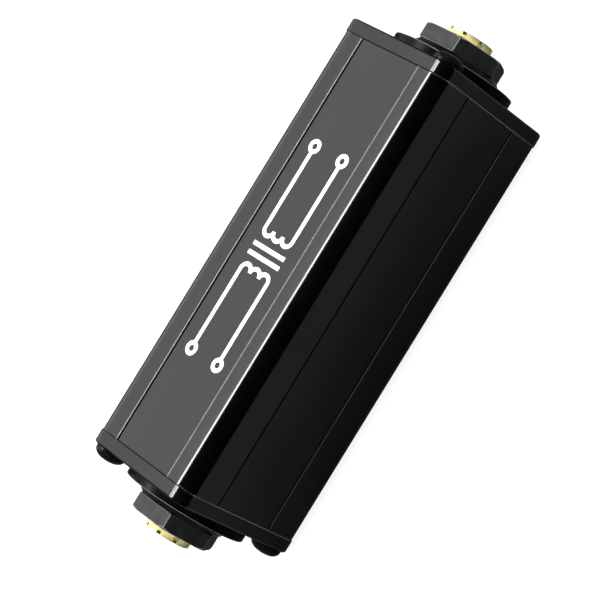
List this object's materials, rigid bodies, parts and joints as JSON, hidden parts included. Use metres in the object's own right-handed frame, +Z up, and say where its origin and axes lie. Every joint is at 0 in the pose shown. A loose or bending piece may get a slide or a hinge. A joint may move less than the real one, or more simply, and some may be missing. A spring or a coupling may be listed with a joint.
{
  "type": "ground loop isolator",
  "caption": "Inline audio ground loop isolator: a black extruded aluminium box with flat end caps and a gilt jack socket, nut and insulating disc at each end.",
  "frame": {"origin": "under the middle of the case, on the surface it lies on", "axes": "+X along the case through both sockets, +Y across its 25 mm width, +Z up through its 30 mm height"},
  "size_m": [0.097, 0.025, 0.03],
  "materials": {
    "case_anodised": "black anodised, satin",
    "screw_black": "black zinc plated",
    "insulator_black": "moulded, fine grain",
    "nut_black": "black plated, satin",
    "gilt": "gold plated",
    "socket_moulding": "moulded glass filled nylon",
    "spring_gilt": "gold flashed strip",
    "board_laminate": "green solder mask over glass laminate",
    "lamination_steel": "bare lamination edges, varnished",
    "bobbin_nylon": "moulded nylon",
    "winding_copper": "enamelled copper wire",
    "tape_yellow": "polyester tape",
    "lead_tinned": "tinned"
  },
  "bodies": {
    "root": {"housing": "case_anodised", "circuit_board": "board_laminate", "end_cap_right": "case_anodised", "cap_screws_right": "screw_black", "outer_insulator_right": "insulator_black", "inner_insulator_right": "insulator_black", "dress_washer_right": "nut_black", "hex_nut_right": "nut_black", "socket_bush_right": "gilt", "socket_body_right": "socket_moulding", "tip_spring_right": "spring_gilt", "ring_spring_right": "spring_gilt", "sleeve_tag_right": "spring_gilt", "transformer_right_core": "lamination_steel", "transformer_right_bobbin": "bobbin_nylon", "transformer_right_primary": "winding_copper", "transformer_right_secondary": "winding_copper", "transformer_right_tape": "tape_yellow", "transformer_right_leads": "lead_tinned", "end_cap_left": "case_anodised", "cap_screws_left": "screw_black", "outer_insulator_left": "insulator_black", "inner_insulator_left": "insulator_black", "dress_washer_left": "nut_black", "hex_nut_left": "nut_black", "socket_bush_left": "gilt", "socket_body_left": "socket_moulding", "tip_spring_left": "spring_gilt", "ring_spring_left": "spring_gilt", "sleeve_tag_left": "spring_gilt", "transformer_left_core": "lamination_steel", "transformer_left_bobbin": "bobbin_nylon", "transformer_left_primary": "winding_copper", "transformer_left_secondary": "winding_copper", "transformer_left_tape": "tape_yellow", "transformer_left_leads": "lead_tinned"}
  },
  "joints": []
}
